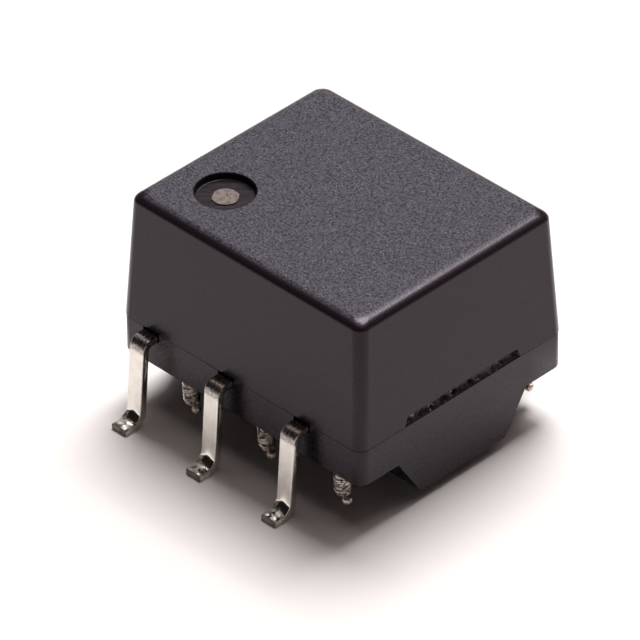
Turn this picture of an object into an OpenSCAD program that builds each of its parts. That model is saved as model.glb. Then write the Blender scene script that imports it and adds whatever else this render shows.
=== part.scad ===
// Common mode choke for surface mounting. A wound toroid stands on edge in a moulded base,
// its lower half in a keel, under a drafted cap. Three gull-wing terminals leave each long side,
// and each has a post under the rim that carries the wrapped end of a winding.
// Millimetres. X runs along the terminal rows, Y across them, and Z up from the board.
// The origin is on the board under the middle of the part.

/* [Core] */
// Outer diameter of the toroid
core_od = 4.5; // [4.1:0.1:5.5]
// Bore of the toroid
core_bore = 2.3; // [2.1:0.1:2.7]
// Length of the toroid along its axis
core_len = 5.0; // [3.5:0.1:5.4]
// Radius of the toroid's tumbled edges
core_edge_r = 0.25; // [0.15:0.05:0.4]

/* [Windings] */
// Wire diameter over the enamel
wire_d = 0.10; // [0.08:0.01:0.13]
// Turns of each winding on the core
turns = 8; // [4:1:10]
// Height of the first strand above the floor of the base's pocket
strand_lift = 0.08; // [0.05:0.01:0.3]
// Air between the wire and the core
wind_gap = 0.03; // [0.02:0.005:0.06]

/* [Base] */
// Height of the keel's underside above the board
keel_clear = 0.30; // [0.1:0.05:0.5]
// Thickness of the keel's floor
keel_floor = 0.30; // [0.2:0.05:0.5]
// Thickness of the keel's sloping sides
keel_wall = 0.30; // [0.2:0.02:0.34]
// Slope of the keel's sides from the vertical, in degrees
keel_slope = 32.5; // [31:0.5:35]
// Radius along the keel's lower edges
keel_edge_r = 0.12; // [0.05:0.01:0.25]
// Space between the toroid and the keel's sides
core_room = 0.11; // [0.08:0.01:0.14]
// Adhesive under the toroid
core_bed = 0.15; // [0.1:0.05:0.3]
// Height of the rim's underside above the board
rim_clear = 1.45; // [1.35:0.05:1.6]
// Height of the rim
rim_h = 1.00; // [0.9:0.05:1.3]
// Thickness of the floor between the keel and the rim's walls
rim_floor = 0.30; // [0.2:0.02:0.4]
// Thickness of the rim's long walls
rim_wall = 0.90; // [0.8:0.02:1.2]
// Thickness of the rim's end walls
end_wall = 0.57; // [0.5:0.01:0.8]
// Floor of the pocket past the outermost wire hole
pocket_end = 0.09; // [0.05:0.01:0.6]
// How far the rim's face stands in from the cap's lower edge
base_step = 0.01; // [0.005:0.005:0.04]
// Height of the two ribs that locate the cap
rib_h = 0.35; // [0.2:0.05:0.5]
// Ledge between the pocket's edge and a locating rib
rib_shelf = 0.10; // [0.03:0.01:0.2]
// Clearance between a locating rib and the cap
rib_gap = 0.04; // [0.02:0.01:0.05]

/* [Cap] */
// Thickness of the cap's walls at the parting line
cap_wall = 0.50; // [0.48:0.01:0.55]
// Thickness of the cap's roof
cap_roof = 0.45; // [0.3:0.05:0.8]
// Air over the top of the windings
head_room = 0.12; // [0.05:0.01:0.4]
// How far each end wall leans in at the top
taper_x = 0.17; // [0.1:0.01:0.25]
// How far each long wall leans in at the top
taper_y = 0.20; // [0.1:0.01:0.25]
// Radius of the upright corners
corner_r = 0.30; // [0.25:0.01:0.45]
// Radius of the edge round the top
top_r = 0.22; // [0.1:0.01:0.25]
// Diameter of the terminal 1 dimple
dimple_d = 1.50; // [0.8:0.05:1.8]
// Depth of the terminal 1 dimple
dimple_depth = 0.20; // [0.1:0.01:0.25]
// Dimple centre from the cap's end, at terminal 1
dimple_from_end = 1.75; // [1.5:0.05:3]
// Dimple centre from the cap's long side, at terminal 1
dimple_from_side = 1.86; // [1.5:0.05:3]
// Diameter of the moulding gate's mark in the dimple
gate_d = 0.65; // [0.3:0.05:0.7]
// Height of the gate's mark above the dimple's floor
gate_h = 0.03; // [0.01:0.01:0.08]
// Length of the slot in each end of the cap, at the parting line
slot_len = 4.00; // [3:0.1:4.4]
// Height of the end slots
slot_h = 0.27; // [0.15:0.01:0.4]
// How far the resin in a slot lies behind the cap's face
resin_recess = 0.10; // [0.04:0.02:0.36]

/* [Terminals] */
// Pitch of the terminals in a row
pitch = 2.54; // [2.2:0.02:3]
// How far the terminals stand from the middle of their row, towards terminal 1
row_shift = 0.46; // [0.3:0.01:0.7]
// Distance along the row from a terminal to its winding post
post_shift = 1.00; // [0.7:0.01:1.2]
// Width of a terminal strip
lead_w = 0.48; // [0.36:0.02:0.6]
// Thickness of a terminal strip
lead_t = 0.20; // [0.15:0.01:0.22]
// Inner radius of the terminal's shoulder bend
bend_r = 0.10; // [0.06:0.01:0.16]
// Inner radius of the bend above the foot
heel_r = 0.18; // [0.08:0.01:0.3]
// Outward lean of the terminal's leg, in degrees
lead_lean = 4.6; // [2:0.2:7]
// Straight run from the rim's face to the shoulder bend
shoulder_len = 0.20; // [0.1:0.01:0.25]
// Length of the flat foot
foot_len = 0.34; // [0.2:0.01:0.8]
// Air between a strip in its channel and the cap
lead_cover = 0.06; // [0.02:0.01:0.12]
// Clearance on each side of the strip in its channel
channel_gap = 0.03; // [0.02:0.005:0.04]
// Diameter of a winding post in the base
post_d = 0.28; // [0.24:0.01:0.34]
// Diameter of a winding post at its end
post_tip_d = 0.20; // [0.16:0.01:0.24]
// Base between a post's channel and the locating rib
post_margin = 0.02; // [0.01:0.01:0.06]
// Height of the solder beads above the board
post_clear = 0.39; // [0.1:0.01:0.5]
// Air between the turns wrapped on a post
wrap_gap = 0.012; // [0.005:0.001:0.05]
// Diameter of the wire holes in the rim's floor
wire_hole_d = 0.18; // [0.15:0.01:0.24]
// How far a solder bead swells past its neck
bead_swell = 0.03; // [0.02:0.005:0.06]
// How far a solder bead hangs off its post's axis, along the row
bead_shift = 0.15; // [0:0.01:0.18]

/* [Hidden] */
$fn = 48;
HULL_FN = 32;

CASE_COLOUR = [0.24, 0.22, 0.23];
BASE_COLOUR = [0.20, 0.18, 0.19];
RESIN_COLOUR = [0.09, 0.08, 0.08];
FERRITE_COLOUR = [0.28, 0.27, 0.27];
ADHESIVE_COLOUR = [0.78, 0.66, 0.42];
COPPER_COLOUR = [0.70, 0.38, 0.16];
TIN_COLOUR = [0.86, 0.85, 0.81];
SOLDER_COLOUR = [0.72, 0.70, 0.68];

// Small overshoot that keeps a cut clear of the face it opens
cut = 0.05;
per_row = 3;
wire_sides = 8;
wrap_steps = 10;
corner_steps = 2;
// Air under a winding post's first turn, past its last turn, and beside a wire hole
wrap_air = 0.03;
post_tail = 0.05;
hole_margin = 0.03;
// Air between a post and the wire wrapped on it
post_air = 0.01;
// How much slimmer the bar to a post is than the post
bar_slim = 0.04;
// How far a post's end overhangs the neck of its solder bead
bead_lap = 0.01;
// Slope of an end slot's short sides, as run over rise
slot_flare = 0.6;
// How far the adhesive climbs the toroid's flanks
bed_climb = 0.40;
// How far below its strand's landing a riser stays upright
riser_drop = 0.35;
pocket_r = 0.15;

// Heights
core_r = core_od / 2;
core_z = keel_clear + keel_floor + core_bed + core_r;
trough_z = keel_clear + keel_floor;
floor_z = rim_clear + rim_floor;
parting_z = rim_clear + rim_h;
channel_depth = lead_t + lead_cover;
seat_z = parting_z - channel_depth;

// Winding section: the strand's centre line round the toroid's own section
wire_r = wire_d / 2;
strand_off = wind_gap + wire_r;
rho_out = core_r + strand_off;
rho_in = core_bore / 2 - strand_off;
bend_strand = core_edge_r + strand_off;
straight_half = core_len / 2 - core_edge_r;
radial_run = rho_out - rho_in - 2 * bend_strand;
corner_run = bend_strand * PI / 2;
loop_run = 4 * straight_half + 2 * radial_run + 4 * corner_run;
// Angle of the first strand from straight down, which leaves the toroid's seat bare
wind_start = acos((core_z - floor_z - strand_lift - wire_r) / rho_out);
strand_step = (360 - 2 * wind_start) / (per_row * turns + 2 + per_row * 2 * straight_half / loop_run);

// Posts and their wraps
wrap_r = post_d / 2 + post_air + wire_r;
wrap_pitch = wire_d + wrap_gap;
wrap_z = rim_clear - wire_r - wrap_air;
bead_neck = post_tip_d / 2 - bead_lap;
bead_r = bead_neck + bead_swell;
bead_sink = sqrt(bead_r * bead_r - bead_neck * bead_neck);
post_end_z = post_clear + bead_r + bead_sink;
post_taper = (post_d - post_tip_d) / 2 / (rim_clear - post_end_z);
wrap_turns = floor((wrap_z - wire_r - post_tail - post_end_z) / wrap_pitch);
outer_post_x = pitch + max(row_shift, post_shift - row_shift);

// Case
riser_y = rho_out + wire_d;
pocket_y = riser_y + wire_hole_d / 2 + hole_margin;
pocket_x = outer_post_x + wrap_r + wire_hole_d / 2 + pocket_end;
cap_half_y = pocket_y + rim_wall;
cap_half_x = pocket_x + end_wall;
rim_half_x = cap_half_x - base_step;
rim_half_y = cap_half_y - base_step;
cap_under = core_z + rho_out + wire_r + head_room;
cap_top = cap_under + cap_roof;
trough_d = core_r + core_room;
keel_d = trough_d + keel_wall;
rib_in_y = pocket_y + rib_shelf;
rib_out_y = cap_half_y - cap_wall - rib_gap;
rib_half_x = pocket_x - pocket_r;

// Terminals
post_y = rib_out_y + post_margin + channel_gap + post_d / 2;
bar_w = post_d - bar_slim;
// How far a post stands above its strip
post_head = lead_cover / 3;
bend_mid = bend_r + lead_t / 2;
leg_turn = 90 - lead_lean;
heel_mid = heel_r + lead_t / 2;
leg_len = (seat_z - (bend_mid + heel_mid) * (1 - sin(lead_lean))) / cos(lead_lean);

// Terminal n counts 1, 2, 3 along the near row and 4, 5, 6 back along the far row
function row_side(n) = n <= per_row ? -1 : 1;
function row_place(n) = n <= per_row ? n : 2 * per_row + 1 - n;
function lead_x(n) = (row_place(n) - (per_row + 1) / 2) * pitch - row_shift;
function post_x(n) = lead_x(n) + post_shift;

// Half width, at height z, of a keel flank that stays at distance d from the toroid's axis
function flank_y(d, z) = (d + (z - core_z) * sin(keel_slope)) / cos(keel_slope);

function unit(v) = v / norm(v);
function flip(p) = [for (i = [len(p) - 1:-1:0]) p[i]];
function mirror_y(p) = [for (q = p) [q.x, -q.y, q.z]];

// Sweep of a round wire along a list of points, with frames carried from ring to ring
function step_dir(p, i) = unit(p[i + 1] - p[i]);
function path_dir(p, i) =
    i == 0 ? step_dir(p, 0) :
    i == len(p) - 1 ? step_dir(p, i - 1) :
    unit(step_dir(p, i - 1) + step_dir(p, i));
function square_to(n, t) = unit(n - (n * t) * t);
function carry(p, i, n) = i < len(p) ? square_to(n, path_dir(p, i)) : n;
function path_sides(p, first) =
    [for (i = 0, n = carry(p, 0, first); i < len(p); i = i + 1, n = carry(p, i, n)) n];
function wire_ring(c, t, n, r) =
    [for (s = [0:wire_sides - 1]) let (a = 360 * s / wire_sides) c + r * (cos(a) * n + sin(a) * cross(t, n))];

module wire(p, r, first) {
    sides = path_sides(p, first);
    rings = [for (i = [0:len(p) - 1]) each wire_ring(p[i], path_dir(p, i), sides[i], r)];
    skin = [
        for (i = [0:len(p) - 2])
            for (s = [0:wire_sides - 1])
                let (a = i * wire_sides + s)
                let (b = i * wire_sides + (s + 1) % wire_sides)
                each [[a, a + wire_sides, b + wire_sides], [a, b + wire_sides, b]]
    ];
    near_end = [for (s = [0:wire_sides - 1]) s];
    far_end = [for (s = [wire_sides - 1:-1:0]) (len(p) - 1) * wire_sides + s];
    polyhedron(rings, concat(skin, [near_end, far_end]));
}

// A point at angle theta round the toroid, counted from straight down towards the near row
function round_core(x, rho, theta) = [x, -rho * sin(theta), core_z - rho * cos(theta)];

// Angle of winding k after a number of loops, where the loops of all windings lie side by side
function strand_angle(k, loops) = wind_start + strand_step * (k - 1 + per_row * loops);

// Corner q of a loop, in the order outer right, inner right, inner left, outer left
function corner_x(q) = q < 2 ? straight_half : -straight_half;
function corner_rho(q) = q == 0 || q == 3 ? rho_out - bend_strand : rho_in + bend_strand;
function run_to_corner(q) =
    q * corner_run + (q < 2 ? 1 : 2) * 2 * straight_half + (q == 0 ? 0 : q == 3 ? 2 : 1) * radial_run;
function corner_points(k, loop, q) =
    [for (i = [0:corner_steps])
        let (share = i / corner_steps)
        let (a = 90 - 90 * (q + share))
        let (run = run_to_corner(q) + share * corner_run)
        round_core(
            corner_x(q) + bend_strand * cos(a),
            corner_rho(q) + bend_strand * sin(a),
            strand_angle(k, loop + run / loop_run))];

// Where a winding meets or leaves the outside of the toroid, abreast of its post
function hole_x(k) = post_x(k) + wrap_r;
function landing_x(k) =
    max(bend_strand - straight_half, min(hole_x(k), straight_half - bend_strand));
function landing(k, loop) =
    round_core(
        landing_x(k),
        rho_out,
        strand_angle(k, loop + (landing_x(k) + straight_half) / loop_run));

// From the free end of the wrap on a near post, up through the wire hole, to the top of the riser
function tail(k, top_z) = concat(
    [for (i = [wrap_turns * wrap_steps:-1:0])
        let (a = -360 * i / wrap_steps)
        let (drop = wrap_pitch * i / wrap_steps)
        let (r = wrap_r - post_taper * drop)
        [post_x(k) + r * cos(a), r * sin(a) - post_y, wrap_z - drop]],
    [for (i = [0:corner_steps])
        let (a = 90 * i / corner_steps)
        [hole_x(k), -riser_y - wire_d * (1 - sin(a)), wrap_z + wire_d * (1 - cos(a))]],
    [[hole_x(k), -riser_y, max(floor_z + wire_r, top_z - riser_drop)]]);

function winding_points(k) = concat(
    tail(k, landing(k, 0).z),
    [landing(k, 0)],
    [for (loop = [0:turns - 1]) for (q = [0:3]) each corner_points(k, loop, q)],
    [landing(k, turns)],
    flip(mirror_y(tail(k, landing(k, turns).z))));

// Rounded rectangle with true arcs at its corners
module rounded_rect(hx, hy, r) {
    square([2 * hx, 2 * (hy - r)], center = true);
    square([2 * (hx - r), 2 * hy], center = true);
    for (sx = [-1, 1])
        for (sy = [-1, 1])
            translate([sx * (hx - r), sy * (hy - r)])
                circle(r);
}

// Extrudes a section drawn in Y and Z along X, both ways from the middle
module along_x(half) {
    rotate([90, 0, 90])
        linear_extrude(2 * half, center = true)
            children();
}

module at_corners(hx, hy) {
    for (sx = [-1, 1])
        for (sy = [-1, 1])
            translate([sx * hx, sy * hy, 0])
                children();
}

module cap_outside() {
    hull() {
        translate([0, 0, parting_z])
            at_corners(cap_half_x - corner_r, cap_half_y - corner_r)
                cylinder(r = corner_r, h = cut, $fn = HULL_FN);
        translate([0, 0, cap_top - top_r])
            at_corners(cap_half_x - taper_x - corner_r, cap_half_y - taper_y - corner_r)
                rotate_extrude($fn = HULL_FN)
                    intersection() {
                        translate([corner_r - top_r, 0])
                            circle(top_r, $fn = HULL_FN);
                        translate([0, -top_r])
                            square([corner_r, 2 * top_r]);
                    }
    }
}

module cap_inside() {
    inner_x = cap_half_x - cap_wall - pocket_r;
    inner_y = cap_half_y - cap_wall - pocket_r;
    hull() {
        translate([0, 0, parting_z - cut])
            at_corners(inner_x, inner_y)
                cylinder(r = pocket_r, h = cut, $fn = HULL_FN);
        translate([0, 0, cap_under - cut])
            at_corners(inner_x - taper_x, inner_y - taper_y)
                cylinder(r = pocket_r, h = cut, $fn = HULL_FN);
    }
}

module slot_section() {
    foot = slot_len / 2;
    head = foot - slot_flare * slot_h;
    polygon([
        [-foot, parting_z],
        [foot, parting_z],
        [head, parting_z + slot_h],
        [-head, parting_z + slot_h]
    ]);
}

module dimple_place() {
    translate([dimple_from_end - cap_half_x, dimple_from_side - cap_half_y, cap_top - dimple_depth])
        children();
}

module cap() {
    color(CASE_COLOUR) {
        difference() {
            cap_outside();
            cap_inside();
            along_x(cap_half_x + cut)
                slot_section();
            dimple_place()
                cylinder(d = dimple_d, h = dimple_depth + cut);
        }
        dimple_place()
            cylinder(d = gate_d, h = gate_h);
    }
}

// Keel section with rounded lower edges, carried up into the rim
module keel_section() {
    edge_z = keel_clear + keel_edge_r;
    edge_y = flank_y(keel_d - keel_edge_r, edge_z);
    side_y = edge_y + keel_edge_r * cos(keel_slope);
    side_z = edge_z - keel_edge_r * sin(keel_slope);
    polygon([
        [-edge_y, keel_clear],
        [edge_y, keel_clear],
        [side_y, side_z],
        [flank_y(keel_d, floor_z), floor_z],
        [-flank_y(keel_d, floor_z), floor_z],
        [-side_y, side_z]
    ]);
    for (s = [-1, 1])
        translate([s * edge_y, edge_z])
            circle(keel_edge_r);
}

// Section of the trough inside the keel, from its floor to height z
module trough_section(z) {
    polygon([
        [-flank_y(trough_d, trough_z), trough_z],
        [flank_y(trough_d, trough_z), trough_z],
        [flank_y(trough_d, z), z],
        [-flank_y(trough_d, z), z]
    ]);
}

// Flat part of terminal n, from its post out to distance reach, with a margin all round
module flat_strip(n, reach, margin, thick) {
    half = bar_w / 2 + margin;
    translate([lead_x(n) - lead_w / 2 - margin, post_y - half, seat_z])
        linear_extrude(thick) {
            square([lead_w + 2 * margin, reach - post_y + half]);
            square([post_shift + lead_w / 2 + margin, 2 * half]);
        }
}

// Turns what is drawn for the far row to the side of terminal n
module on_row(n) {
    mirror([0, row_side(n) < 0 ? 1 : 0, 0])
        children();
}

module terminal_seat(n) {
    on_row(n) {
        flat_strip(n, rim_half_y + cut, channel_gap, channel_depth + cut);
        translate([post_x(n), post_y, seat_z])
            cylinder(d = post_d + 2 * channel_gap, h = channel_depth + cut);
        translate([post_x(n), post_y, rim_clear - cut])
            cylinder(d = post_d, h = seat_z - rim_clear + 2 * cut);
        translate([post_x(n) + wrap_r, riser_y, rim_clear - cut])
            cylinder(d = wire_hole_d, h = rim_floor + 2 * cut);
    }
}

module base() {
    color(BASE_COLOUR)
        difference() {
            union() {
                translate([0, 0, rim_clear])
                    linear_extrude(rim_h)
                        rounded_rect(rim_half_x, rim_half_y, corner_r);
                along_x(rim_half_x)
                    keel_section();
                for (s = [0, 1])
                    mirror([0, s, 0])
                        translate([-rib_half_x, rib_in_y, parting_z - cut])
                            cube([2 * rib_half_x, rib_out_y - rib_in_y, rib_h + cut]);
            }
            translate([0, 0, floor_z])
                linear_extrude(rim_h)
                    rounded_rect(pocket_x, pocket_y, pocket_r);
            along_x(pocket_x)
                trough_section(floor_z + cut);
            for (n = [1:2 * per_row])
                terminal_seat(n);
        }
}

module core() {
    color(FERRITE_COLOUR)
        translate([-core_len / 2, 0, core_z])
            rotate([0, 90, 0])
                rotate_extrude()
                    translate([(core_od + core_bore) / 4, core_len / 2])
                        rounded_rect((core_od - core_bore) / 4, core_len / 2, core_edge_r);
}

module core_adhesive() {
    half = straight_half - core_edge_r;
    color(ADHESIVE_COLOUR)
        difference() {
            along_x(half)
                trough_section(core_z - core_r + bed_climb);
            translate([-half - cut, 0, core_z])
                rotate([0, 90, 0])
                    cylinder(r = core_r, h = 2 * (half + cut));
        }
}

module slot_resin(side) {
    depth = cap_wall - resin_recess;
    color(RESIN_COLOUR)
        translate([side * (cap_half_x - cap_wall + depth / 2), 0, 0])
            along_x(depth / 2)
                slot_section();
}

module winding(k) {
    color(COPPER_COLOUR)
        wire(winding_points(k), wire_r, [0, 0, 1]);
}

// Bend of a strip that runs along +X with its underside at Z 0: down for a turn over 0, up below 0
module strip_bend(turn, r) {
    down = turn > 0;
    translate([0, 0, down ? -r : r + lead_t])
        rotate([90, 0, 0])
            rotate([0, 0, down ? 90 - turn : -90])
                rotate_extrude(angle = abs(turn))
                    translate([r, -lead_w / 2])
                        square([lead_t, lead_w]);
}

module after_bend(turn, r) {
    pivot = turn > 0 ? -r : r + lead_t;
    translate([0, 0, pivot])
        rotate([0, turn, 0])
            translate([0, 0, -pivot])
                children();
}

module strip_run(run) {
    translate([0, -lead_w / 2, 0])
        cube([run, lead_w, lead_t]);
}

// Shoulder, leaning leg and flat foot, from the rim's face outwards along +X
module gull_wing() {
    strip_run(shoulder_len);
    translate([shoulder_len, 0, 0]) {
        strip_bend(leg_turn, bend_r);
        after_bend(leg_turn, bend_r) {
            strip_run(leg_len);
            translate([leg_len, 0, 0]) {
                strip_bend(-leg_turn, heel_r);
                after_bend(-leg_turn, heel_r)
                    strip_run(foot_len);
            }
        }
    }
}

module terminal(n) {
    color(TIN_COLOUR)
        on_row(n) {
            flat_strip(n, rim_half_y, 0, lead_t);
            translate([lead_x(n), rim_half_y, seat_z])
                rotate([0, 0, 90])
                    gull_wing();
            translate([post_x(n), post_y, rim_clear])
                cylinder(d = post_d, h = seat_z + lead_t + post_head - rim_clear);
            translate([post_x(n), post_y, post_end_z])
                cylinder(d1 = post_tip_d, d2 = post_d, h = rim_clear - post_end_z);
        }
}

// Bead of solder that hangs on the flat end of a post
module solder_bead(n) {
    color(SOLDER_COLOUR)
        on_row(n)
            translate([post_x(n) + bead_shift, post_y, post_end_z - bead_sink])
                intersection() {
                    sphere(r = bead_r);
                    translate([-bead_r - cut, -bead_r - cut, -bead_r - cut])
                        cube([2 * (bead_r + cut), 2 * (bead_r + cut), bead_r + cut + bead_sink]);
                }
}

cap();
base();
core();
core_adhesive();
slot_resin(-1);  // slot_resin_1
slot_resin(1);  // slot_resin_2
winding(1);  // winding_1
winding(2);  // winding_2
winding(3);  // winding_3
terminal(1);  // terminal_1
terminal(2);  // terminal_2
terminal(3);  // terminal_3
terminal(4);  // terminal_4
terminal(5);  // terminal_5
terminal(6);  // terminal_6
solder_bead(1);  // solder_bead_1
solder_bead(2);  // solder_bead_2
solder_bead(3);  // solder_bead_3
solder_bead(4);  // solder_bead_4
solder_bead(5);  // solder_bead_5
solder_bead(6);  // solder_bead_6
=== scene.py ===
import bmesh
import bpy
import math
from mathutils import Matrix, Quaternion, Vector


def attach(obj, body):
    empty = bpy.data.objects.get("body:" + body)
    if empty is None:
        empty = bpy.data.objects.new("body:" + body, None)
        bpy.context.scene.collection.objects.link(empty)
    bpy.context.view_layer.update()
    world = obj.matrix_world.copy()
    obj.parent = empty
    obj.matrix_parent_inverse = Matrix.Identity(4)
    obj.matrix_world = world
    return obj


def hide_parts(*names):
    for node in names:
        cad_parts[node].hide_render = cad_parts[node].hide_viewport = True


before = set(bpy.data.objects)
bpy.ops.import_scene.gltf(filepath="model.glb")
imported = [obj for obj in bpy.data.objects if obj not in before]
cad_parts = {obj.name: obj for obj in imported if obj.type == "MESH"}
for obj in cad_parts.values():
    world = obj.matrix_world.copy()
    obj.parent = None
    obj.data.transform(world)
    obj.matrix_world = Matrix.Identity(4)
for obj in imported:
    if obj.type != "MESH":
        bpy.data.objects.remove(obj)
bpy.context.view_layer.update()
scene = bpy.context.scene
mm = 0.001  # every piece is modelled in millimetres and brought to metres when it is settled
touch = 0.001  # points nearer than this, in millimetres, are at the same place
facing = 0.9  # a face looks along an axis when this much of its normal does
tall = 0.1  # an edge that climbs more than this, in millimetres, is upright


# modelling steps

def dropSelection():
    if bpy.context.mode != "OBJECT":
        bpy.ops.object.mode_set(mode="OBJECT")
    bpy.ops.object.select_all(action="DESELECT")


def takeHold(piece):
    dropSelection()
    piece.select_set(True)
    bpy.context.view_layer.objects.active = piece


def openMesh(piece):
    takeHold(piece)
    bpy.ops.object.mode_set(mode="EDIT")
    bpy.ops.mesh.select_all(action="DESELECT")


def closeMesh():
    bpy.ops.object.mode_set(mode="OBJECT")


def pick(piece, kind, wanted):
    bpy.ops.mesh.select_mode(type={"faces": "FACE", "edges": "EDGE", "verts": "VERT"}[kind])
    bpy.ops.mesh.select_all(action="DESELECT")
    cage = bmesh.from_edit_mesh(piece.data)
    for element in [each for each in getattr(cage, kind) if wanted(each)]:
        element.select_set(True)
    bmesh.update_edit_mesh(piece.data)


def looksUp(face):
    return face.normal.z > facing


def looksDown(face):
    return face.normal.z < -facing


def isUpright(edge):
    return abs(edge.verts[0].co.z - edge.verts[1].co.z) > tall


def isUnder(edge, level):
    return max(vert.co.z for vert in edge.verts) < level + touch


def isOver(edge, level):
    return min(vert.co.z for vert in edge.verts) > level - touch


def nameIt(name):
    piece = bpy.context.object
    piece.name = name
    bpy.ops.object.transform_apply(location=True, rotation=True, scale=True)
    return piece


def addBlock(name, low, high):
    dropSelection()
    bpy.ops.mesh.primitive_cube_add(size=1, location=[(a + b) / 2 for a, b in zip(low, high)])
    bpy.context.object.scale = [b - a for a, b in zip(low, high)]
    return nameIt(name)


def addRod(name, x, y, low, high, radius, sides):
    dropSelection()
    bpy.ops.mesh.primitive_cylinder_add(
        vertices=sides, radius=radius, depth=high - low, location=(x, y, (low + high) / 2))
    return nameIt(name)


def roundCorners(block, radius, steps):
    pick(block, "edges", isUpright)
    bpy.ops.mesh.bevel(offset=radius, segments=steps, affect="EDGES", clamp_overlap=False)


def draftedBlock(name, half, top, low, high, corner, steps):
    block = addBlock(name, (-half[0], -half[1], low), (half[0], half[1], high))
    openMesh(block)
    pick(block, "faces", looksUp)
    bpy.ops.transform.resize(value=(top[0] / half[0], top[1] / half[1], 1))
    roundCorners(block, corner, steps)
    closeMesh()
    return block


def joinAll(name, pieces):
    takeHold(pieces[0])
    for piece in pieces[1:]:
        piece.select_set(True)
    bpy.ops.object.join()
    return nameIt(name)


def carve(piece, tool, how="DIFFERENCE"):
    takeHold(piece)
    step = piece.modifiers.new("carve", "BOOLEAN")
    step.operation = how
    step.solver = "EXACT"
    step.object = tool
    bpy.ops.object.modifier_apply(modifier=step.name)
    bpy.data.objects.remove(tool, do_unlink=True)


def breakEdges(piece, width, degrees, segments=2):
    takeHold(piece)
    step = piece.modifiers.new("edges", "BEVEL")
    step.width = width
    step.segments = segments
    step.limit_method = "ANGLE"
    step.angle_limit = math.radians(degrees)
    bpy.ops.object.modifier_apply(modifier=step.name)


def roughen(piece, name, grain, strength, direction="NORMAL", level=0.5, group=""):
    takeHold(piece)
    cloud = bpy.data.textures.new(name, "CLOUDS")
    cloud.noise_scale = grain
    step = piece.modifiers.new("lumps", "DISPLACE")
    step.texture = cloud
    step.texture_coords = "LOCAL"
    step.direction = direction
    step.mid_level = level
    step.strength = strength
    step.vertex_group = group
    bpy.ops.object.modifier_apply(modifier=step.name)


def pullSoftly(value, falloff, reach):
    bpy.ops.transform.translate(
        value=value, use_proportional_edit=True, use_proportional_connected=True,
        proportional_edit_falloff=falloff, proportional_size=reach)


def turnOutward():
    bpy.ops.mesh.select_all(action="SELECT")
    bpy.ops.mesh.normals_make_consistent(inside=False)


def copyPiece(piece, name, move=(0, 0, 0), scale=(1, 1, 1), turn=0.0):
    takeHold(piece)
    bpy.ops.object.duplicate()
    twin = bpy.context.object
    twin.location = move
    twin.scale = scale
    twin.rotation_euler = (0, 0, turn)
    nameIt(name)
    if scale[0] * scale[1] * scale[2] < 0:
        openMesh(twin)
        turnOutward()
        closeMesh()
    return twin


def settle(piece, finish, nodes, smoothAngle=38, evenFaces=False):
    takeHold(piece)
    piece.scale = (mm, mm, mm)
    bpy.ops.object.transform_apply(location=True, rotation=True, scale=True)
    bpy.ops.object.shade_smooth_by_angle(angle=math.radians(smoothAngle))
    if evenFaces:  # wide flat faces keep their own direction beside rounded edges
        step = piece.modifiers.new("even", "WEIGHTED_NORMAL")
        step.keep_sharp = True
        step.weight = 100
        bpy.ops.object.modifier_apply(modifier=step.name)
    piece.data.materials.clear()
    piece.data.materials.append(finish)
    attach(piece, "root")
    if nodes:
        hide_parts(*nodes)
    print("settled", piece.name, len(piece.data.polygons), "faces")


# steps for finishes, which read places in millimetres

def startFinish(name):
    finish = bpy.data.materials.new(name)
    finish.use_nodes = True
    nodes, links = finish.node_tree.nodes, finish.node_tree.links
    nodes.clear()
    out = nodes.new("ShaderNodeOutputMaterial")
    shader = nodes.new("ShaderNodeBsdfPrincipled")
    links.new(shader.outputs["BSDF"], out.inputs["Surface"])
    place = nodes.new("ShaderNodeTexCoord")
    toMillimetres = nodes.new("ShaderNodeMapping")
    toMillimetres.inputs["Scale"].default_value = (1 / mm, 1 / mm, 1 / mm)
    links.new(place.outputs["Object"], toMillimetres.inputs["Vector"])
    return finish, shader, toMillimetres.outputs["Vector"]


def feed(finish, value, socket):
    if isinstance(value, tuple):
        socket.default_value = (*value, 1.0)
    elif isinstance(value, (int, float)):
        socket.default_value = value
    else:
        finish.node_tree.links.new(value, socket)


def mapped(finish, where, key, value):
    node = finish.node_tree.nodes.new("ShaderNodeMapping")
    node.inputs[key].default_value = value
    feed(finish, where, node.inputs["Vector"])
    return node.outputs["Vector"]


def noiseField(finish, where, scale, detail, roughness, stretch=None, swing=0.0):
    if swing:
        where = mapped(finish, where, "Rotation", (0, 0, swing))
    if stretch:
        where = mapped(finish, where, "Scale", stretch)
    field = finish.node_tree.nodes.new("ShaderNodeTexNoise")
    field.inputs["Scale"].default_value = scale
    field.inputs["Detail"].default_value = detail
    field.inputs["Roughness"].default_value = roughness
    feed(finish, where, field.inputs["Vector"])
    return field.outputs["Fac"]


def rangeOf(finish, value, low, high, toLow=0.0, toHigh=1.0):
    node = finish.node_tree.nodes.new("ShaderNodeMapRange")
    node.interpolation_type = "SMOOTHSTEP"
    for key, number in (("From Min", low), ("From Max", high), ("To Min", toLow), ("To Max", toHigh)):
        node.inputs[key].default_value = number
    feed(finish, value, node.inputs["Value"])
    return node.outputs["Result"]


def maths(finish, how, first, second=0.0):
    node = finish.node_tree.nodes.new("ShaderNodeMath")
    node.operation = how
    feed(finish, first, node.inputs[0])
    feed(finish, second, node.inputs[1])
    return node.outputs["Value"]


def product(finish, first, second):
    return maths(finish, "MULTIPLY", first, second)


def total(finish, first, *others):
    for value in others:
        first = maths(finish, "ADD", first, value)
    return first


def vectorMaths(finish, how, first, second):
    node = finish.node_tree.nodes.new("ShaderNodeVectorMath")
    node.operation = how
    for value, socket in zip((first, second), node.inputs):
        if isinstance(value, tuple):
            socket.default_value = value
        else:
            finish.node_tree.links.new(value, socket)
    return node.outputs["Value" if how in ("DISTANCE", "DOT_PRODUCT") else "Vector"]


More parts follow.
